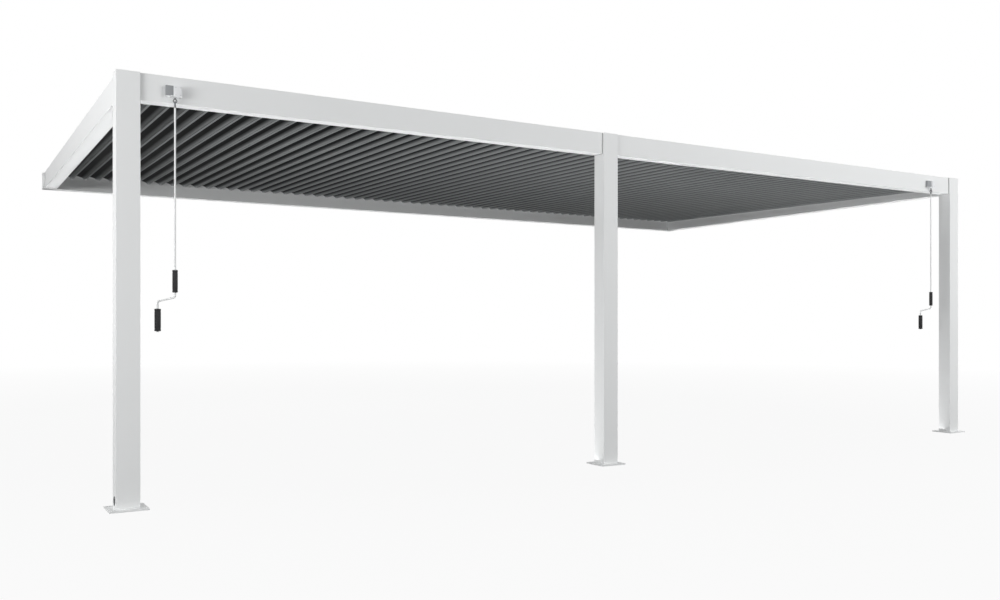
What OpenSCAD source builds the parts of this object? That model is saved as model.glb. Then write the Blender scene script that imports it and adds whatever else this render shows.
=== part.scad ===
// Louvered pergola that leans on a wall: three front posts, a ring of gutter
// beams and one field of tilting louvers, worked by two hand cranks.
// Origin: centre of the wall beam's back face. +X right, +Y into the wall, +Z up.

/* [Overall] */
// Width over the outer faces of the end posts
overall_w = 7200; // [5000:10:9000]
// Depth from the wall to the front faces of the posts
overall_d = 3950; // [2500:10:5000]
// Height from the ground to the top of the beams
overall_h = 2310; // [2000:10:3000]
// Distance from the left post's outer face to the middle post's left face
middle_post_x = 3172; // [2500:1:4500]

/* [Posts] */
// Width of the post tube along the wall
post_w = 120; // [80:1:160]
// Depth of the post tube towards the wall
post_d = 110; // [80:1:160]
// Wall of the post tube
post_wall = 3; // [2:0.5:6]
// Thickness of the cap on a post
cap_t = 3; // [2:0.5:6]
// Width of the base plate beyond each side of the post
plate_rim = 40; // [25:1:80]
// Thickness of the base plate
plate_t = 8; // [5:0.5:20]
// Diameter of the ground bolt holes
plate_hole_d = 12; // [8:0.5:20]
// Distance of a ground bolt hole from the plate's edge
plate_hole_edge = 20; // [12:1:40]
// Diameter of the drain outlet in the left post
drain_d = 42; // [20:1:60]
// Height of the drain outlet's centre over the ground
drain_z = 48; // [35:1:200]

/* [Beams] */
// Height of the beam section
beam_h = 144; // [100:1:250]
// Set-back of the beam's outer face behind the post's face
beam_inset = 14; // [0:1:40]
// Wall of the beam extrusion
beam_wall = 3; // [2:0.5:6]
// Width of the closed chamber on the outer side
chamber_w = 50; // [30:1:70]
// Height of the gutter floor over the beam's bottom
gutter_floor = 22; // [10:1:60]
// Drop of the gutter's inner wall below the top of the beam
gutter_drop = 16; // [0:1:60]
// Set-back of the inner face's lower edge
sill_back = 4; // [0:0.5:15]
// Height of the set-back lower edge
sill_h = 20; // [5:1:40]
// Thickness of the wall beam's end caps
end_cap_t = 2; // [1:0.5:5]
// Diameter of the wall bolt holes
wall_hole_d = 12; // [8:0.5:20]
// Distance between wall bolts along the wall
wall_bolt_step = 900; // [400:10:1500]
// Height between the two wall bolts of a pair
wall_bolt_rise = 60; // [30:1:100]

/* [Louvers] */
// Number of louvers worked by the left crank
left_louvers = 29; // [10:1:40]
// Number of louvers worked by the right crank
right_louvers = 36; // [10:1:50]
// Gap between one louver's edge and the next
louver_gap = 6; // [5:0.5:12]
// Thickness of the louver's skin
louver_skin = 1.4; // [1:0.1:4]
// Height of the louver from the underside of its lip to the top of its arch
louver_h = 30; // [20:1:60]
// Width of the flat lip on the left of the arch
lip_w = 14; // [4:0.5:25]
// Height of the cover strip's top over the lip's underside
cover_rise = 9; // [7:0.5:20]
// Length by which the cover strip reaches over the next louver's lip
cover_lap = 5; // [2:0.5:10]
// Drop of the lips' undersides below the top of the beams, at the wall
louver_drop = 45; // [30:1:120]
// Fall of the louvers from the rail at the wall to the rail at the front
louver_fall = 47; // [0:1:60]
// Diameter of the boss that holds a pivot pin
boss_d = 16; // [12:0.5:24]
// Length of the boss along the louver
boss_len = 40; // [15:1:100]
// Clear gap between the louver's end and the rail
end_gap = 6; // [6:0.5:15]
// Diameter of the pivot pin
pin_d = 10; // [6:0.5:16]
// Radial clearance of the pin in the rail
pin_clear = 0.1; // [0.05:0.05:0.5]

/* [Louver rails] */
// Thickness of the rail that carries the pivots
rail_t = 8; // [5:0.5:15]
// Height of the rail, up from the undersides of the lips
rail_h = 30; // [24:1:60]

/* [Cranks] */
// Distance of the left crank's rod from the outer face of the left post
crank_left_x = 296; // [200:1:800]
// Distance of the right crank's rod from the outer face of the right post
crank_right_x = 402; // [200:1:800]
// Width of the gearbox housing
gear_w = 41; // [25:1:80]
// Height of the gearbox housing
gear_h = 60; // [40:1:120]
// Depth of the gearbox housing in front of the beam
gear_d = 36; // [30:1:90]
// Drop of the gearbox housing below the top of the beam
gear_drop = 53; // [20:1:80]
// Distance of the rod from the housing's left side
gear_rod_x = 8; // [8:1:20]
// Width of the worm block to the left of the housing
worm_w = 40; // [20:1:80]
// Depth of the worm block in front of the beam
worm_d = 22; // [10:1:60]
// Thickness of the housing's foot under the worm block
gear_foot_t = 5; // [3:0.5:10]
// Reach of the housing's foot under the worm block
gear_foot_w = 17; // [5:1:40]
// Diameter of the crank rod
rod_d = 10; // [8:0.5:20]
// Diameter of the wire of the eye and of the hook
ring_wire_d = 6; // [4:0.5:10]
// Outer diameter of the eye and of the hook
ring_d = 24; // [20:1:50]
// Bare length of the gearbox shaft above the eye
shaft_len = 4; // [2:0.5:20]
// Height of the crank arm's upper end over the ground
arm_z = 1122; // [800:1:1600]
// Drop of the crank arm from its upper to its lower end
arm_drop = 20; // [0:1:80]
// Reach of the crank arm
arm_reach = 93; // [50:1:200]
// Direction of the arm at rest, from the right seen from above
arm_turn = 150; // [0:1:360]
// Radius of the rod's bends along its middle
bend_r = 14; // [8:1:40]
// Swelling of the forged bends over the rod's diameter
bend_swell = 0.5; // [0.5:0.5:4]
// Length of a grip
grip_len = 120; // [60:1:200]
// Outer diameter of the upper grip
upper_grip_d = 27; // [18:1:40]
// Outer diameter of the lower grip
lower_grip_d = 32; // [18:1:40]
// Distance from the arm's upper end to the upper grip
upper_grip_gap = 27; // [10:1:60]
// Distance from the arm's lower end to the lower grip
lower_grip_gap = 41; // [10:1:60]
// Length of the raised band at each end of a grip
grip_band = 9; // [4:0.5:20]
// Height of the raised band over the grip
grip_flare = 1; // [0.5:0.5:4]
// Chamfer on a grip's ends
grip_chamfer = 2; // [0.5:0.5:4]
// Gap between the eye and the gearbox, and between the hook and the eye
seat_gap = 0.3; // [0.1:0.1:1]
// Radial clearance of a grip on its rod
grip_clear = 0.5; // [0.2:0.1:2]
// Thickness of the collars that keep a grip in place
collar_t = 4; // [2:0.5:10]
// Diameter of the collars
collar_d = 15; // [14:0.5:30]

/* [Hidden] */
$fn = 48;
// How far a cutter runs past the face it cuts
past = 1;
z_top = beam_h / 2;
z_ground = z_top - overall_h;
x_left = -overall_w / 2;
x_right = overall_w / 2;
x_middle = x_left + middle_post_x;
y_front = -overall_d;
beam_d = post_d - beam_inset;
post_xs = [x_left, x_middle, x_right - post_w];
x_in_left = x_left + beam_inset + beam_d;
x_in_right = -x_in_left;
y_clear_front = y_front + post_d;
y_clear_wall = -beam_d;

louvers = left_louvers + right_louvers;
// Room beside the first and the last louver
side_gap = louver_gap;
louver_pitch = (x_in_right - x_in_left - 2 * side_gap - cover_lap) / louvers;
louver_w = louver_pitch - louver_gap;
arch_w = louver_w - lip_w;
// The louvers' axes run from the middle of one rail to the middle of the other
axis_y = y_clear_wall - rail_t / 2;
axis_run = axis_y - rail_t / 2 - y_clear_front;
axis_tilt = atan2(louver_fall, axis_run);
louver_len = norm([axis_run, louver_fall]) - rail_t - 2 * end_gap;
// Depth to which a boss sinks into the skin on two sides
boss_sink = 0.8;
pivot_u = lip_w + louver_skin + boss_d / 2 - boss_sink;
pivot_v = louver_h - louver_skin - boss_d / 2 + boss_sink;
pivot_z = z_top - louver_drop + pivot_v;
first_pivot_x = x_in_left + side_gap + pivot_u;
// A pin stops this far inside the rail's outer face
pin_back = 1;
pin_len = end_gap + rail_t - pin_back;
pin_root = 10;

rod_y = y_front + beam_inset - gear_d / 2;
boss_z = z_top - gear_drop - gear_h - collar_t;
ring_r = (ring_d - ring_wire_d) / 2;
eye_z = boss_z - seat_gap - shaft_len - ring_d / 2;
hook_z = eye_z - 2 * ring_r + ring_wire_d + seat_gap;
arm_top = z_ground + arm_z;
arm_low = arm_top - arm_drop;
arm_slope = atan2(arm_drop, arm_reach);
bend_turn = 90 - arm_slope;
bend_run = bend_r * tan(bend_turn / 2);
// Length by which a straight rod runs into a bend
bend_lap = 1.5;
collar_gap = 0.5;
upper_grip_z = arm_top + upper_grip_gap;
lower_grip_z = arm_low - lower_grip_gap - grip_len;
arm_dx = arm_reach * cos(arm_turn);
arm_dy = arm_reach * sin(arm_turn);

function two_digits(i) = i < 10 ? str("0", i) : str(i);
function louver_name(i) = str("louver_", two_digits(i));

white = [0.9, 0.91, 0.92];
shade_grey = [0.32, 0.34, 0.35];
zinc_grey = [0.75, 0.76, 0.78];
black = [0.05, 0.05, 0.06];

// Post tube between its base plate and its cap
module post(i) {
    color(white)
    translate([post_xs[i], y_front, z_ground + plate_t])
    difference() {
        cube([post_w, post_d, overall_h - plate_t - cap_t]);
        translate([post_wall, post_wall, -past])
        cube([post_w - 2 * post_wall, post_d - 2 * post_wall, overall_h]);
        if (i == 0)
            translate([-past, post_d / 2, drain_z - plate_t])
            rotate([0, 90, 0])
            cylinder(d = drain_d, h = post_wall + 2 * past);
    }
}

module base_plate(i) {
    w = post_w + 2 * plate_rim;
    d = post_d + 2 * plate_rim;
    e = plate_hole_edge;
    color(white)
    translate([post_xs[i] - plate_rim, y_front - plate_rim, z_ground])
    difference() {
        cube([w, d, plate_t]);
        for (x = [e, w - e], y = [e, d - e])
            translate([x, y, -past])
            cylinder(d = plate_hole_d, h = plate_t + 2 * past);
    }
}

module post_caps() {
    color(white)
    for (x = post_xs)
        translate([x, y_front, z_top - cap_t])
        cube([post_w, post_d, cap_t]);
}

// Beam section: outer face at x = 0, inner face at x = beam_d, bottom at y = 0
module beam_section() {
    t = beam_wall;
    inner_top = beam_h - gutter_drop;
    difference() {
        polygon([
            [0, 0], [beam_d - sill_back, 0], [beam_d - sill_back, sill_h], [beam_d, sill_h],
            [beam_d, inner_top], [beam_d - t, inner_top], [beam_d - t, gutter_floor + t],
            [chamber_w, gutter_floor + t], [chamber_w, beam_h], [0, beam_h]
        ]);
        translate([t, t])
        square([chamber_w - 2 * t, beam_h - 2 * t]);
        translate([chamber_w, t])
        square([beam_d - sill_back - t - chamber_w, gutter_floor - t]);
    }
}

// Beam along +X with its outer face towards -Y
module beam_front(x0, x1) {
    translate([x0, y_front + beam_inset, -beam_h / 2])
    rotate([90, 0, 90])
    linear_extrude(x1 - x0)
    beam_section();
}

module front_beam_left() {
    color(white) beam_front(x_left + post_w, x_middle);
}

module front_beam_right() {
    color(white) beam_front(x_middle + post_w, x_right - post_w);
}

module side_beam(left) {
    len = y_clear_wall - y_clear_front;
    color(white)
    mirror([left ? 0 : 1, 0, 0])
    translate([x_left + beam_inset, y_clear_wall, -beam_h / 2])
    rotate([90, 0, 0])
    linear_extrude(len)
    beam_section();
}

// Beam on the wall: its back face is the section's outer face
module wall_beam() {
    color(white)
    difference() {
        translate([x_right - end_cap_t, 0, -beam_h / 2])
        rotate([90, 0, -90])
        linear_extrude(overall_w - 2 * end_cap_t)
        beam_section();
        for (i = [-3.5 : 1 : 3.5], z = [-0.5, 0.5])
            translate([i * wall_bolt_step, past, z * wall_bolt_rise])
            rotate([90, 0, 0])
            cylinder(d = wall_hole_d, h = chamber_w + 2 * past);
    }
}

module wall_beam_end_caps() {
    color(white)
    for (x = [x_left, x_right - end_cap_t])
        translate([x, -beam_d, -beam_h / 2])
        cube([end_cap_t, beam_d, beam_h]);
}

// Flat bar that carries the pivots of all louvers
module louver_rail(y0, fall) {
    color(white)
    difference() {
        translate([x_in_left, y0, z_top - louver_drop - fall])
        cube([x_in_right - x_in_left, rail_t, rail_h]);
        for (i = [0 : louvers - 1])
            translate([first_pivot_x + i * louver_pitch, y0 - past, pivot_z - fall])
            rotate([-90, 0, 0])
            cylinder(r = pin_d / 2 + pin_clear, h = rail_t + 2 * past, $fn = 24);
    }
}

// A quarter of an ellipse that falls from [x0, b] to [x0 + a, 0]
arch_steps = 16;
function arch_line(x0, a, b) =
    [for (k = [0 : arch_steps]) [x0 + a * sin(90 * k / arch_steps), b * cos(90 * k / arch_steps)]];
function backwards(list) = [for (k = [len(list) - 1 : -1 : 0]) list[k]];

// Flat lip, riser, falling arch and cover strip, with the lip's lower left edge at the origin
module louver_section() {
    s = louver_skin;
    under = arch_line(lip_w + s, arch_w - 2 * s, louver_h - s);
    over = arch_line(lip_w, arch_w, louver_h);
    strip_z = cover_rise - s / 2;
    strip_u = lip_w + s / 2 + (arch_w - s) * sqrt(1 - pow(strip_z / (louver_h - s / 2), 2));
    polygon(concat([[0, 0], [lip_w + s, 0]], under, backwards(over), [[lip_w, s], [0, s]]));
    translate([strip_u, cover_rise - s])
    square([louver_w + louver_gap + cover_lap - strip_u, s]);
}

// One louver on its falling axis, with a pin in a boss at each end
module louver(i) {
    color(shade_grey)
    translate([first_pivot_x + (i - 1) * louver_pitch, axis_y, pivot_z])
    rotate([90 + axis_tilt, 0, 0])
    translate([0, 0, rail_t / 2 + end_gap]) {
        translate([-pivot_u, -pivot_v])
        linear_extrude(louver_len)
        louver_section();
        for (z = [0, louver_len - boss_len])
            translate([0, 0, z])
            cylinder(d = boss_d, h = boss_len);
        for (z = [-pin_len, louver_len - pin_root])
            translate([0, 0, z])
            cylinder(d = pin_d, h = pin_len + pin_root, $fn = 24);
    }
}

module louvers_right() {
    for (i = [left_louvers + 1 : louvers]) louver(i);
}

function rod_x(left) = left ? x_left + crank_left_x : x_right - crank_right_x;

// Housing with a foot that carries the worm block, and the boss for the shaft
module gearbox(left) {
    z0 = boss_z + collar_t;
    x0 = -gear_rod_x;
    color(zinc_grey)
    translate([rod_x(left), 0, 0]) {
        translate([0, rod_y + gear_d / 2, z0])
        rotate([90, 0, 0])
        linear_extrude(gear_d)
        polygon([
            [x0 - gear_foot_w, 0], [x0 + gear_w, 0], [x0 + gear_w, gear_h], [x0, gear_h],
            [x0, gear_foot_t], [x0 - gear_foot_w, gear_foot_t]
        ]);
        translate([x0 - worm_w, rod_y + gear_d / 2 - worm_d, z0 + gear_foot_t])
        cube([worm_w, worm_d, gear_h - gear_foot_t]);
        translate([0, rod_y, boss_z])
        cylinder(d = collar_d, h = collar_t + past);
    }
}

module wire_ring(z, turn) {
    translate([0, 0, z])
    rotate([90, 0, turn])
    rotate_extrude($fn = 32)
    translate([ring_r, 0])
    circle(d = ring_wire_d, $fn = 16);
}

// Bend of the rod round a centre in the arm's plane, from the given angle on
module rod_bend(x, z, start) {
    translate([x, 0, z])
    rotate([90, 0, 0])
    rotate([0, 0, start])
    rotate_extrude(angle = bend_turn)
    translate([bend_r, 0])
    circle(d = rod_d + bend_swell, $fn = 24);
}

module collars(z) {
    for (c = [z - collar_gap - collar_t, z + grip_len + collar_gap])
        translate([0, 0, c])
        cylinder(d = collar_d, h = collar_t);
}

// Eye on the gearbox shaft, and the cranked rod that hangs in it by its hook
module crank_rod(left) {
    rod_top = hook_z - ring_r;
    rod_low = arm_top + bend_run - bend_lap;
    lower_top = arm_low - bend_run + bend_lap;
    lower_end = lower_grip_z - collar_gap - collar_t;
    color(white)
    translate([rod_x(left), rod_y, 0]) {
        translate([0, 0, eye_z + ring_r])
        cylinder(d = rod_d, h = boss_z - seat_gap - eye_z - ring_r);
        wire_ring(eye_z, 0);
        wire_ring(hook_z, 90);
        translate([0, 0, rod_low])
        cylinder(d = rod_d, h = rod_top - rod_low);
        collars(upper_grip_z);
        rotate([0, 0, arm_turn]) {
            rod_bend(bend_r, arm_top + bend_run, 180);
            translate([0, 0, arm_top])
            rotate([0, 90 + arm_slope, 0])
            translate([0, 0, bend_run - bend_lap])
            cylinder(d = rod_d, h = norm([arm_reach, arm_drop]) - 2 * (bend_run - bend_lap));
            rod_bend(arm_reach - bend_r, arm_low - bend_run, 0);
            translate([arm_reach, 0, lower_end])
            cylinder(d = rod_d, h = lower_top - lower_end);
        }
        translate([arm_dx, arm_dy, 0])
        collars(lower_grip_z);
    }
}

// Turned sleeve with a raised band at each end
module grip(x, y, z, d) {
    bore = rod_d / 2 + grip_clear;
    r = d / 2;
    band = r + grip_flare;
    c = grip_chamfer;
    step = grip_band + grip_flare;
    color(black)
    translate([x, y, z])
    rotate_extrude()
    polygon([
        [bore, 0], [band - c, 0], [band, c], [band, grip_band], [r, step], [r, grip_len - step],
        [band, grip_len - grip_band], [band, grip_len - c], [band - c, grip_len], [bore, grip_len]
    ]);
}

module upper_grip(left) {
    grip(rod_x(left), rod_y, upper_grip_z, upper_grip_d);
}

module lower_grip(left) {
    grip(rod_x(left) + arm_dx, rod_y + arm_dy, lower_grip_z, lower_grip_d);
}

post(0);  // post_left
post(1);  // post_middle
post(2);  // post_right
base_plate(0);  // base_plate_left
base_plate(1);  // base_plate_middle
base_plate(2);  // base_plate_right
post_caps();
front_beam_left();
front_beam_right();
side_beam(true);  // side_beam_left
side_beam(false);  // side_beam_right
wall_beam();
wall_beam_end_caps();
louver_rail(y_clear_front, louver_fall);  // louver_rail_front
louver_rail(y_clear_wall - rail_t, 0);  // louver_rail_wall
louvers_right();
gearbox(true);  // gearbox_left
gearbox(false);  // gearbox_right
crank_rod(true);  // crank_rod_left
crank_rod(false);  // crank_rod_right
upper_grip(true);  // upper_grip_left
upper_grip(false);  // upper_grip_right
lower_grip(true);  // lower_grip_left
lower_grip(false);  // lower_grip_right
for (i = [1 : left_louvers])
    louver(i);
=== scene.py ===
# Louvered pergola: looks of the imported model, for Blender 4.5.
# Every length is in metres, in the frame of the CAD model.
import math

import bmesh
import bpy
from mathutils import Matrix, Vector


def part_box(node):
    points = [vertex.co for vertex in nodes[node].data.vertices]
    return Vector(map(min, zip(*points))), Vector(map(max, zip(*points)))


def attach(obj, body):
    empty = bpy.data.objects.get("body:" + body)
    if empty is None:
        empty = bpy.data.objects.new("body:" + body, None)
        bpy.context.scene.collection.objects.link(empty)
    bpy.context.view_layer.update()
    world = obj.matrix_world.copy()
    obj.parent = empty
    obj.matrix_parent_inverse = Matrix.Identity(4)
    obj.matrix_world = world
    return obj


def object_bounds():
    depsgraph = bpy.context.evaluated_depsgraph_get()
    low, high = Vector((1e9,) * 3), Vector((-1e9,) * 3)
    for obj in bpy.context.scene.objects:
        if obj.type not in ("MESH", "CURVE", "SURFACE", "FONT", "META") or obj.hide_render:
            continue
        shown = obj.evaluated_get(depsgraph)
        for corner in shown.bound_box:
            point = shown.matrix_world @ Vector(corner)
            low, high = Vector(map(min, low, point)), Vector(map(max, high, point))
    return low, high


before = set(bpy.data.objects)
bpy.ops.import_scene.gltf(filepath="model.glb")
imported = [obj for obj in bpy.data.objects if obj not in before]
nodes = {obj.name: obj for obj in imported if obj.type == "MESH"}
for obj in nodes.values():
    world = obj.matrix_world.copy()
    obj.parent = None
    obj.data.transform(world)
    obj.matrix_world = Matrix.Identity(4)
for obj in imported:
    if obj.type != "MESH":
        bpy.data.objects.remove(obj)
cad_box = [list(corner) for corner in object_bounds()]
ground_z = cad_box[0][2]

# Camera, fitted to the photograph's edges
LENS_MM = 34.04
CAMERA_HEIGHT = 0.972
CAMERA_LEFT = 0.813
CAMERA_FRONT = 5.258
HEADING = math.radians(59.116)
HORIZON_SHIFT = 0.0254

# Light: name, place, aim, size, watts, spread in degrees
WORLD_STRENGTH = 0.2
LAMPS = (
    ("left_low", (-10.5, -7.0, -0.9), (0.0, -3.0, -0.2), (3.0, 0.8), 290.0, 180.0),
    ("left_front", (-8.5, -8.0, 1.4), (-2.0, -3.9, -1.2), (6.0, 4.0), 185.0, 180.0),
    ("left_side", (-9.5, -3.2, 1.6), (-2.0, -3.0, -1.0), (3.0, 2.4), 80.0, 180.0),
    ("right_front", (4.5, -11.0, 1.6), (1.5, -3.9, -1.0), (6.0, 3.0), 470.0, 180.0),
    ("floor_strip", (0.0, -3.3, ground_z + 0.03), (0.0, -3.3, 2.0), (7.2, 1.2), 42.0, 180.0),
    ("beam_glow", (0.0, -3.893, -0.45), (0.0, -3.893, 2.0), (7.0, 0.06), 2.2, 40.0),
    ("left_glow", (-3.538, -1.97, -0.45), (-3.538, -1.97, 2.0), (0.06, 3.7), 1.5, 40.0),
    ("right_glow", (3.538, -1.97, -0.45), (3.538, -1.97, 2.0), (0.06, 3.7), 1.3, 40.0),
    ("wall_glow", (0.0, -0.048, -0.45), (0.0, -0.048, 2.0), (7.0, 0.06), 2.2, 40.0),
    ("rear", (0.0, 8.0, 3.0), (0.0, 0.0, -0.5), (7.0, 3.0), 240.0, 180.0),
    ("rear_right", (9.0, 1.0, 2.5), (3.0, -2.0, -0.5), (4.0, 3.0), 110.0, 180.0),
    ("top", (0.0, -2.0, 6.0), (0.0, -2.0, 0.0), (7.0, 4.0), 160.0, 180.0),
)

# The floor's white: kind of ray, distances between which it grows, and its least share.
# Close to the object the floor keeps its own shade, in reflections more than for the camera.
FLOOR_WHITE = (("Is Camera Ray", 5.0, 16.0, 0.93), ("Is Glossy Ray", 7.0, 24.0, 0.0))

# Pivots of the louvers: first one, spacing, and the rails' faces that hold them
PIVOT_X = -3.4614
PIVOT_STEP = 0.107123
PIVOTS = 65
PIVOT_RAILS = ((-3.832, 0.0014, 1.0), (-0.104, 0.0484, -1.0))
PIN_RADIUS = 0.005
HOOK_LENGTH = 0.052

POSTS = ("left", "middle", "right")
SIDES = ("left", "right")
WALL_BOLT_STEP = 0.9
WALL_BOLT_RISE = 0.03
CHAMBER = 0.05
DRAIN_Z = 0.048
DRAIN_RADIUS = 0.021


# Louver coat: fall of the blades per metre, tones, and the heights between which the painted shade in the hollow
# deepens
BLADE_FALL = 0.01261
# The underside's light tone is painted light and its near black tone is painted shade; the top tone is the coat's plain
# colour
COAT_PAINTED_LIGHT = (0.40, 0.415, 0.42)
COAT_PAINTED_SHADE = (0.010, 0.0105, 0.011)
COAT_TOP = (0.06, 0.062, 0.064)
PAINTED_SHADE_HEIGHTS = (0.0325, 0.0470)


def new_camera():
    low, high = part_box("post_left")
    data = bpy.data.cameras.new("camera")
    data.lens = LENS_MM
    data.sensor_width = 36.0
    data.shift_y = HORIZON_SHIFT
    data.clip_end = 200.0
    camera = bpy.data.objects.new("camera", data)
    camera.location = (low.x - CAMERA_LEFT, low.y - CAMERA_FRONT, ground_z + CAMERA_HEIGHT)
    camera.rotation_euler = (math.pi / 2, 0.0, HEADING - math.pi / 2)
    bpy.context.scene.collection.objects.link(camera)
    bpy.context.scene.camera = camera


# Materials

class Look:
    """A Principled material that is put together node by node."""

    def __init__(self, name, color, roughness, metallic=0.0, specular=0.5):
        self.material = bpy.data.materials.new(name)
        self.material.use_nodes = True
        self.tree = self.material.node_tree
        self.surface = self.tree.nodes["Principled BSDF"]
        self.color = color
        self.put("Base Color", (*color, 1.0))
        self.put("Roughness", roughness)
        self.put("Metallic", metallic)
        self.put("Specular IOR Level", specular)
        self.place = self.tree.nodes.new("ShaderNodeTexCoord").outputs["Object"]

    def put(self, socket, value):
        self.surface.inputs[socket].default_value = value

    def join(self, output, socket):
        self.tree.links.new(output, socket)

    def noise(self, scale, detail=2.0, stretch=(1.0, 1.0, 1.0)):
        mapping = self.tree.nodes.new("ShaderNodeMapping")
        mapping.inputs["Scale"].default_value = stretch
        self.join(self.place, mapping.inputs["Vector"])
        noise = self.tree.nodes.new("ShaderNodeTexNoise")
        noise.inputs["Scale"].default_value = scale
        noise.inputs["Detail"].default_value = detail
        self.join(mapping.outputs["Vector"], noise.inputs["Vector"])
        return noise.outputs["Fac"]

    def ramp(self, fac, low, high, start=0.3, end=0.7):
        ramp = self.tree.nodes.new("ShaderNodeValToRGB")
        first, last = ramp.color_ramp.elements
        first.position, last.position = start, end
        first.color, last.color = (*low, 1.0), (*high, 1.0)
        self.join(fac, ramp.inputs["Fac"])
        return ramp.outputs["Color"]

    def mottle(self, scale, amount, stretch=(1.0, 1.0, 1.0)):
        darker = [c * (1.0 - amount) for c in self.color]
        lighter = [c * (1.0 + amount) for c in self.color]
        self.join(self.ramp(self.noise(scale, 4.0, stretch), darker, lighter), self.surface.inputs["Base Color"])

    def vary_roughness(self, scale, low, high, stretch=(1.0, 1.0, 1.0)):
        spread = self.tree.nodes.new("ShaderNodeMapRange")
        spread.inputs["To Min"].default_value = low
        spread.inputs["To Max"].default_value = high
        self.join(self.noise(scale, 3.0, stretch), spread.inputs["Value"])
        self.join(spread.outputs["Result"], self.surface.inputs["Roughness"])

    def relief(self, layers):
        normal = None
        for scale, strength, distance, stretch in layers:
            bump = self.tree.nodes.new("ShaderNodeBump")
            bump.inputs["Strength"].default_value = strength
            bump.inputs["Distance"].default_value = distance
            self.join(self.noise(scale, 2.0, stretch), bump.inputs["Height"])
            if normal is not None:
                self.join(normal, bump.inputs["Normal"])
            normal = bump.outputs["Normal"]
        self.join(normal, self.surface.inputs["Normal"])


def white_powder():
    look = Look("white_coat", (0.80, 0.81, 0.81), 0.4)
    look.mottle(2.5, 0.008)
    look.vary_roughness(40.0, 0.36, 0.46)
    look.relief(((900.0, 0.10, 0.0002, (1.0, 1.0, 1.0)),))
    return look.material


def dark_powder():
    """Grey coat with painted light low on the underside and painted shade, near black, in the hollow under each blade;
    plain dark on top.
    """
    look = Look("louver_coat", (0.2, 0.206, 0.212), 0.45, specular=0.03)
    parts = look.tree.nodes.new("ShaderNodeSeparateXYZ")
    look.join(look.place, parts.inputs[0])
    height = look.tree.nodes.new("ShaderNodeMath")
    height.operation = "MULTIPLY_ADD"
    look.join(parts.outputs["Y"], height.inputs[0])
    height.inputs[1].default_value = -BLADE_FALL
    look.join(parts.outputs["Z"], height.inputs[2])
    # Painted light low on the underside, turning to painted shade higher up in the hollow
    painted_light_and_shade = look.ramp(height.outputs[0], COAT_PAINTED_LIGHT, COAT_PAINTED_SHADE, *PAINTED_SHADE_HEIGHTS)
    facing = look.tree.nodes.new("ShaderNodeTexCoord")
    way = look.tree.nodes.new("ShaderNodeSeparateXYZ")
    look.join(facing.outputs["Normal"], way.inputs[0])
    upward = look.tree.nodes.new("ShaderNodeMapRange")
    upward.inputs["From Min"].default_value = 0.0
    upward.inputs["From Max"].default_value = 0.2
    look.join(way.outputs["Z"], upward.inputs["Value"])
    blend = look.tree.nodes.new("ShaderNodeMix")
    blend.data_type = "RGBA"
    look.join(upward.outputs["Result"], blend.inputs["Factor"])
    look.join(painted_light_and_shade, blend.inputs[6])
    blend.inputs[7].default_value = (*COAT_TOP, 1.0)
    look.join(blend.outputs[2], look.surface.inputs["Base Color"])
    look.vary_roughness(25.0, 0.41, 0.49, (1.0, 0.1, 1.0))
    look.relief(((1200.0, 0.15, 0.0002, (1.0, 1.0, 1.0)), (500.0, 0.06, 0.0002, (1.0, 0.01, 1.0))))
    return look.material


def cast_look(name):
    look = Look(name, (0.80, 0.81, 0.82), 0.42)
    look.relief(((700.0, 0.25, 0.0003, (1.0, 1.0, 1.0)),))
    return look


def gear_metal(side):
    """White housing and foot; the worm block to the left of the split is grey."""
    low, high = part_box("gearbox_" + side)
    look = cast_look("gear_metal_" + side)
    parts = look.tree.nodes.new("ShaderNodeSeparateXYZ")
    look.join(look.place, parts.inputs[0])
    masks = []
    for output, operation, limit in (("X", "LESS_THAN", high.x - 0.0412), ("Z", "GREATER_THAN", low.z + 0.0092)):
        test = look.tree.nodes.new("ShaderNodeMath")
        test.operation = operation
        test.inputs[1].default_value = limit
        look.join(parts.outputs[output], test.inputs[0])
        masks.append(test.outputs[0])
    both = look.tree.nodes.new("ShaderNodeMath")
    both.operation = "MULTIPLY"
    look.join(masks[0], both.inputs[0])
    look.join(masks[1], both.inputs[1])
    look.join(look.ramp(both.outputs[0], look.color, (0.30, 0.31, 0.32), 0.4, 0.6), look.surface.inputs["Base Color"])
    return look.material


def rod_coat(side):
    """White rod; the eye and the hook at its top are bare steel."""
    low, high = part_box("crank_rod_" + side)
    look = Look("rod_coat_" + side, (0.80, 0.81, 0.81), 0.38)
    parts = look.tree.nodes.new("ShaderNodeSeparateXYZ")
    look.join(look.place, parts.inputs[0])
    level = look.tree.nodes.new("ShaderNodeMapRange")
    level.inputs["From Min"].default_value = high.z - HOOK_LENGTH - 0.002
    level.inputs["From Max"].default_value = high.z - HOOK_LENGTH
    look.join(parts.outputs["Z"], level.inputs["Value"])
    look.join(look.ramp(level.outputs["Result"], look.color, (0.20, 0.205, 0.21), 0.0, 1.0), look.surface.inputs["Base Color"])
    look.relief(((900.0, 0.10, 0.0002, (1.0, 1.0, 1.0)),))
    return look.material


def moulded_black():
    look = Look("black_plastic", (0.012, 0.012, 0.013), 0.38)
    look.mottle(90.0, 0.15)
    look.vary_roughness(120.0, 0.34, 0.46)
    look.relief(((1500.0, 0.3, 0.0002, (1.0, 1.0, 1.0)),))
    return look.material


def zinc():
    look = Look("zinc", (0.62, 0.63, 0.64), 0.32, metallic=1.0)
    look.mottle(300.0, 0.08)
    look.vary_roughness(200.0, 0.26, 0.42)
    return look.material


def rubber():
    look = Look("rubber", (0.16, 0.165, 0.17), 0.6, specular=0.3)
    look.mottle(200.0, 0.1)
    look.relief(((900.0, 0.3, 0.0002, (1.0, 1.0, 1.0)),))
    return look.material


def nylon():
    look = Look("nylon", (0.03, 0.03, 0.032), 0.45)
    look.mottle(150.0, 0.1)
    return look.material


def assign(names, material):
    for name in names:
        mesh = nodes[name].data
        mesh.materials.clear()
        mesh.materials.append(material)


# Meshes

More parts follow.
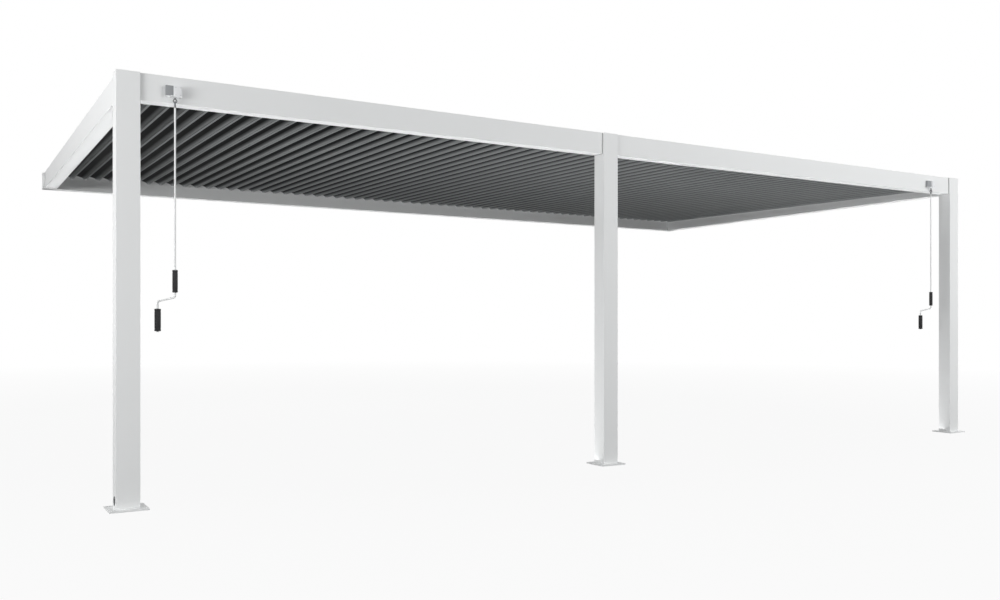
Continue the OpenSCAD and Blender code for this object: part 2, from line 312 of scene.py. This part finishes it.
def new_piece(name, shape, material, body, sharp=35.0):
    bmesh.ops.remove_doubles(shape, verts=shape.verts, dist=1e-6)
    bmesh.ops.recalc_face_normals(shape, faces=shape.faces)
    for face in shape.faces:
        face.smooth = True
    mesh = bpy.data.meshes.new(name)
    shape.to_mesh(mesh)
    shape.free()
    mesh.set_sharp_from_angle(angle=math.radians(sharp))
    mesh.materials.append(material)
    piece = bpy.data.objects.new(name, mesh)
    bpy.context.scene.collection.objects.link(piece)
    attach(piece, body)
    return piece


def lathe(shape, origin, axis, profile, segments=20, closed=False, turn=0.0):
    """Turns a profile of (radius, height) points round an axis; a closed one is a ring."""
    matrix = Matrix.Translation(origin) @ Vector(axis).to_track_quat("Z", "Y").to_matrix().to_4x4()
    rings = []
    for radius, height in profile:
        if radius < 1e-7:
            rings.append([shape.verts.new(matrix @ Vector((0.0, 0.0, height)))])
            continue
        ring = []
        for k in range(segments):
            angle = turn + 2.0 * math.pi * k / segments
            point = Vector((radius * math.cos(angle), radius * math.sin(angle), height))
            ring.append(shape.verts.new(matrix @ point))
        rings.append(ring)
    pairs = list(zip(rings, rings[1:]))
    if closed:
        pairs.append((rings[-1], rings[0]))
    for first, second in pairs:
        for k in range(segments):
            j = (k + 1) % segments
            corners = []
            for vert in (first[k % len(first)], first[j % len(first)], second[j % len(second)], second[k % len(second)]):
                if vert not in corners:
                    corners.append(vert)
            if len(corners) > 2:
                shape.faces.new(corners)


def band(shape, low, high, normal, profile):
    """Runs a closed profile of (outward, along) points round the rectangle from low to high."""
    a, b = [k for k in range(3) if k != normal]
    loops = []
    for outward, along in profile:
        loop = []
        for sa, sb in ((-1, -1), (1, -1), (1, 1), (-1, 1)):
            point = [0.0, 0.0, 0.0]
            point[a] = (low[a] if sa < 0 else high[a]) + sa * outward
            point[b] = (low[b] if sb < 0 else high[b]) + sb * outward
            point[normal] = low[normal] + along
            loop.append(shape.verts.new(point))
        loops.append(loop)
    for k in range(len(loops)):
        first, second = loops[k], loops[(k + 1) % len(loops)]
        for i in range(4):
            j = (i + 1) % 4
            shape.faces.new((first[i], first[j], second[j], second[i]))


def slab(shape, low, high, chamfer, face_axis, face_side):
    """A plate with its edges chamfered on the side that faces outwards."""
    a, b = [k for k in range(3) if k != face_axis]
    back = low[face_axis] if face_side > 0 else high[face_axis]
    front = high[face_axis] if face_side > 0 else low[face_axis]
    loops = []
    for inset, depth in ((0.0, back), (0.0, front - face_side * chamfer), (chamfer, front)):
        loop = []
        for sa, sb in ((-1, -1), (1, -1), (1, 1), (-1, 1)):
            point = [0.0, 0.0, 0.0]
            point[a] = low[a] + inset if sa < 0 else high[a] - inset
            point[b] = low[b] + inset if sb < 0 else high[b] - inset
            point[face_axis] = depth
            loop.append(shape.verts.new(point))
        loops.append(loop)
    for first, second in zip(loops, loops[1:]):
        for i in range(4):
            j = (i + 1) % 4
            shape.faces.new((first[i], first[j], second[j], second[i]))
    shape.faces.new(loops[0])
    shape.faces.new(loops[-1])


def screw(shape, origin, axis, radius, height):
    """Button-head screw with a round socket."""
    profile = ((0.0, 0.0), (radius, 0.0), (radius, 0.35 * height), (0.85 * radius, 0.8 * height),
               (0.5 * radius, height), (0.45 * radius, height), (0.42 * radius, 0.45 * height), (0.0, 0.45 * height))
    lathe(shape, origin, axis, profile, 18)


def soften(names, width):
    """Rounds the edges of CAD nodes a little with a modifier."""
    for name in names:
        bevel = nodes[name].modifiers.new("edges", "BEVEL")
        bevel.width = width
        bevel.segments = 2
        bevel.limit_method = "ANGLE"
        bevel.angle_limit = math.radians(40.0)
        bevel.use_clamp_overlap = True


# Detail pieces

def joint_gaskets(material):
    shape = bmesh.new()
    strip = 0.003
    proud = 0.0008
    profile = ((-0.001, 0.0), (proud, 0.0), (proud, strip), (-0.001, strip))
    for side in SIDES:
        low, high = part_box("front_beam_" + side)
        for start in (low.x, high.x - strip):
            band(shape, Vector((start, low.y, low.z)), Vector((start, high.y, high.z - proud)), 0, profile)
        low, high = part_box("side_beam_" + side)
        for start in (low.y, high.y - strip):
            band(shape, Vector((low.x, start, low.z)), Vector((high.x, start, high.z - proud)), 1, profile)
    new_piece("joint_gaskets", shape, material, "frame")


def foot_welds(material):
    shape = bmesh.new()
    r = 0.004
    profile = ((-0.001, 0.0), (r, 0.0), (0.75 * r, 0.35 * r), (0.35 * r, 0.75 * r), (0.0, r), (-0.001, r))
    for post in POSTS:
        low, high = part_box("post_" + post)
        band(shape, low, Vector((high.x, high.y, low.z)), 2, profile)
    new_piece("foot_welds", shape, material, "frame", 60.0)


def drain_sleeve(material):
    shape = bmesh.new()
    low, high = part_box("post_left")
    r = DRAIN_RADIUS
    origin = (low.x, (low.y + high.y) / 2, ground_z + DRAIN_Z)
    profile = ((r - 0.002, -0.028), (r - 0.0004, -0.028), (r - 0.0004, 0.0), (r + 0.004, 0.0), (r + 0.004, 0.0009),
               (r + 0.003, 0.0016), (r - 0.001, 0.0016), (r - 0.002, 0.0009))
    lathe(shape, origin, (-1.0, 0.0, 0.0), profile, 40, closed=True)
    new_piece("drain_sleeve", shape, material, "frame")


def pivot_bushes(material):
    shape = bmesh.new()
    bore, rim = PIN_RADIUS + 0.0002, 0.009
    profile = ((bore, -0.002), (bore, 0.0015), (rim - 0.0006, 0.0015), (rim, 0.001), (rim, 0.0), (bore + 0.001, -0.002))
    for y, z, way in PIVOT_RAILS:
        for k in range(PIVOTS):
            lathe(shape, (PIVOT_X + k * PIVOT_STEP, y, z), (0.0, way, 0.0), profile, 16, closed=True)
    new_piece("pivot_bushes", shape, material, "frame")


def wall_bolts(material):
    shape = bmesh.new()
    back = -CHAMBER
    washer = ((0.0065, 0.0), (0.012, 0.0), (0.012, 0.0013), (0.0115, 0.0018), (0.0065, 0.0018))
    head = ((0.0, 0.0018), (0.0105, 0.0018), (0.0105, 0.0075), (0.0090, 0.0088), (0.0, 0.0088))
    for k in range(8):
        for side in (-1.0, 1.0):
            origin = ((k - 3.5) * WALL_BOLT_STEP, back, side * WALL_BOLT_RISE)
            lathe(shape, origin, (0.0, -1.0, 0.0), washer, 24, closed=True)
            lathe(shape, origin, (0.0, -1.0, 0.0), head, 6, turn=0.3 * k)
    new_piece("wall_bolts", shape, material, "frame")


def end_cap_screws(material):
    shape = bmesh.new()
    low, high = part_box("wall_beam_end_caps")
    for x, way in ((low.x, -1.0), (high.x, 1.0)):
        for y in (-0.009, -0.041):
            for z in (-0.062, 0.062):
                screw(shape, (x, y, z), (way, 0.0, 0.0), 0.0045, 0.0024)
    new_piece("end_cap_screws", shape, material, "frame")


def cap_screws(material):
    shape = bmesh.new()
    for post in POSTS:
        low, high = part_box("post_" + post)
        for z in (-0.045, 0.045):
            for x in (low.x + 0.03, high.x - 0.03):
                screw(shape, (x, high.y, z), (0.0, 1.0, 0.0), 0.005, 0.0026)
    new_piece("post_screws", shape, material, "frame")


def gearbox_parts(side, metal, zinc_metal):
    low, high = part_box("gearbox_" + side)
    shape = bmesh.new()
    slab(shape, Vector((high.x - 0.037, low.y - 0.0012, high.z - 0.055)),
         Vector((high.x - 0.004, low.y + 0.001, high.z - 0.006)), 0.0008, 1, -1)
    for k in range(3):
        z = high.z - 0.016 - 0.012 * k
        slab(shape, Vector((high.x - 0.030, low.y - 0.0022, z - 0.0015)),
             Vector((high.x - 0.011, low.y - 0.001, z + 0.0015)), 0.0006, 1, -1)
    new_piece("gearbox_cover_" + side, shape, metal, "frame")
    shape = bmesh.new()
    for x in (high.x - 0.033, high.x - 0.008):
        for z in (high.z - 0.010, high.z - 0.051):
            screw(shape, (x, low.y - 0.0012, z), (0.0, -1.0, 0.0), 0.0024, 0.0014)
    new_piece("gearbox_screws_" + side, shape, zinc_metal, "frame")


def grip_ribs(side, level, radius, length, material):
    name = "%s_grip_%s" % (level, side)
    low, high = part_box(name)
    cx, cy = (low.x + high.x) / 2, (low.y + high.y) / 2
    margin = 0.014
    count = 16
    shape = bmesh.new()
    for k in range(count):
        angle = 2.0 * math.pi * k / count
        loops = []
        for z, rise in ((low.z + margin, 0.0), (low.z + margin + 0.003, 1.0),
                        (high.z - margin - 0.003, 1.0), (high.z - margin, 0.0)):
            loop = []
            for offset, height in ((-0.0016, -0.0004), (-0.0009, 0.0005), (0.0, 0.0008), (0.0009, 0.0005), (0.0016, -0.0004)):
                r = radius + (height if rise else -0.0004)
                a = angle + offset / radius
                loop.append(shape.verts.new((cx + r * math.cos(a), cy + r * math.sin(a), z)))
            loops.append(loop)
        for first, second in zip(loops, loops[1:]):
            for i in range(4):
                shape.faces.new((first[i], first[i + 1], second[i + 1], second[i]))
            shape.faces.new((first[4], first[0], second[0], second[4]))
    new_piece("%s_ribs_%s" % (level, side), shape, material, name, 60.0)


def lay_floor():
    mesh = bpy.data.meshes.new("floor")
    half = 60.0
    corners = [(-half, -half, ground_z), (half, -half, ground_z), (half, half, ground_z), (-half, half, ground_z)]
    mesh.from_pydata(corners, [], [(0, 1, 2, 3)])
    floor = bpy.data.objects.new("floor", mesh)
    bpy.context.scene.collection.objects.link(floor)
    material = bpy.data.materials.new("floor")
    material.use_nodes = True
    tree = material.node_tree
    matte = tree.nodes["Principled BSDF"]
    matte.inputs["Base Color"].default_value = (0.2, 0.2, 0.2, 1.0)
    matte.inputs["Roughness"].default_value = 0.9
    glow = tree.nodes.new("ShaderNodeEmission")
    glow.inputs["Strength"].default_value = 1.0
    place = tree.nodes.new("ShaderNodeTexCoord")
    reach = tree.nodes.new("ShaderNodeVectorMath")
    reach.operation = "LENGTH"
    tree.links.new(place.outputs["Object"], reach.inputs[0])
    path = tree.nodes.new("ShaderNodeLightPath")
    shares = []
    for kind, near, far, least in FLOOR_WHITE:
        fade = tree.nodes.new("ShaderNodeMapRange")
        fade.inputs["From Min"].default_value = near
        fade.inputs["From Max"].default_value = far
        fade.inputs["To Min"].default_value = least
        fade.inputs["To Max"].default_value = 1.0
        tree.links.new(reach.outputs["Value"], fade.inputs["Value"])
        part = tree.nodes.new("ShaderNodeMath")
        part.operation = "MULTIPLY"
        tree.links.new(path.outputs[kind], part.inputs[0])
        tree.links.new(fade.outputs["Result"], part.inputs[1])
        shares.append(part.outputs[0])
    share = tree.nodes.new("ShaderNodeMath")
    share.operation = "ADD"
    tree.links.new(shares[0], share.inputs[0])
    tree.links.new(shares[1], share.inputs[1])
    mix = tree.nodes.new("ShaderNodeMixShader")
    tree.links.new(share.outputs[0], mix.inputs["Fac"])
    tree.links.new(matte.outputs["BSDF"], mix.inputs[1])
    tree.links.new(glow.outputs["Emission"], mix.inputs[2])
    tree.links.new(mix.outputs["Shader"], tree.nodes["Material Output"].inputs["Surface"])
    mesh.materials.append(material)


def seen_directly(tree):
    """1 for the camera and in reflections, where the background shows white."""
    path = tree.nodes.new("ShaderNodeLightPath")
    most = path.outputs["Is Camera Ray"]
    for kind in ("Is Glossy Ray", "Is Transmission Ray"):
        either = tree.nodes.new("ShaderNodeMath")
        either.operation = "MAXIMUM"
        tree.links.new(most, either.inputs[0])
        tree.links.new(path.outputs[kind], either.inputs[1])
        most = either.outputs[0]
    return most


def light_world():
    world = bpy.data.worlds.new("studio")
    world.use_nodes = True
    bpy.context.scene.world = world
    tree = world.node_tree
    plain = tree.nodes["Background"]
    plain.inputs["Color"].default_value = (0.97, 0.985, 1.0, 1.0)
    plain.inputs["Strength"].default_value = WORLD_STRENGTH
    white = tree.nodes.new("ShaderNodeBackground")
    white.inputs["Color"].default_value = (1.0, 1.0, 1.0, 1.0)
    white.inputs["Strength"].default_value = 1.0
    mix = tree.nodes.new("ShaderNodeMixShader")
    tree.links.new(seen_directly(tree), mix.inputs["Fac"])
    tree.links.new(plain.outputs["Background"], mix.inputs[1])
    tree.links.new(white.outputs["Background"], mix.inputs[2])
    tree.links.new(mix.outputs["Shader"], tree.nodes["World Output"].inputs["Surface"])


def area_light(name, place, aim, size, power, spread):
    data = bpy.data.lights.new(name, "AREA")
    data.shape = "RECTANGLE"
    data.size, data.size_y = size
    data.energy = power
    data.spread = math.radians(spread)
    lamp = bpy.data.objects.new(name, data)
    lamp.location = place
    direction = Vector(aim) - Vector(place)
    lamp.rotation_euler = direction.to_track_quat("-Z", "Y").to_euler()
    lamp.visible_camera = False
    lamp.visible_glossy = False
    bpy.context.scene.collection.objects.link(lamp)


new_camera()
light_world()
lay_floor()
for lamp in LAMPS:
    area_light(*lamp)

white_coat = white_powder()
louver_coat = dark_powder()
cover_look = cast_look("pale_metal")
cover_look.mottle(60.0, 0.03)
pale_metal = cover_look.material
black_plastic = moulded_black()
zinc_metal = zinc()
gasket = rubber()
bush = nylon()
for name in nodes:
    if name.startswith("gearbox"):
        assign([name], gear_metal(name.split("_")[-1]))
    elif name.startswith("crank_rod"):
        assign([name], rod_coat(name.split("_")[-1]))
    elif name.startswith("louver") and "rail" not in name:
        assign([name], louver_coat)
    elif "grip" in name:
        assign([name], black_plastic)
    else:
        assign([name], white_coat)

square_edged = [name for name in nodes if name.startswith(("post_", "base_", "front_beam", "side_beam", "gearbox"))]
soften(square_edged, 0.0008)

joint_gaskets(gasket)
foot_welds(white_coat)
drain_sleeve(gasket)
pivot_bushes(bush)
wall_bolts(zinc_metal)
end_cap_screws(zinc_metal)
cap_screws(zinc_metal)
for side in SIDES:
    gearbox_parts(side, pale_metal, zinc_metal)
    grip_ribs(side, "upper", 0.0135, 0.12, black_plastic)
    grip_ribs(side, "lower", 0.016, 0.12, black_plastic)

view = bpy.context.scene.view_settings
view.view_transform = "Standard"
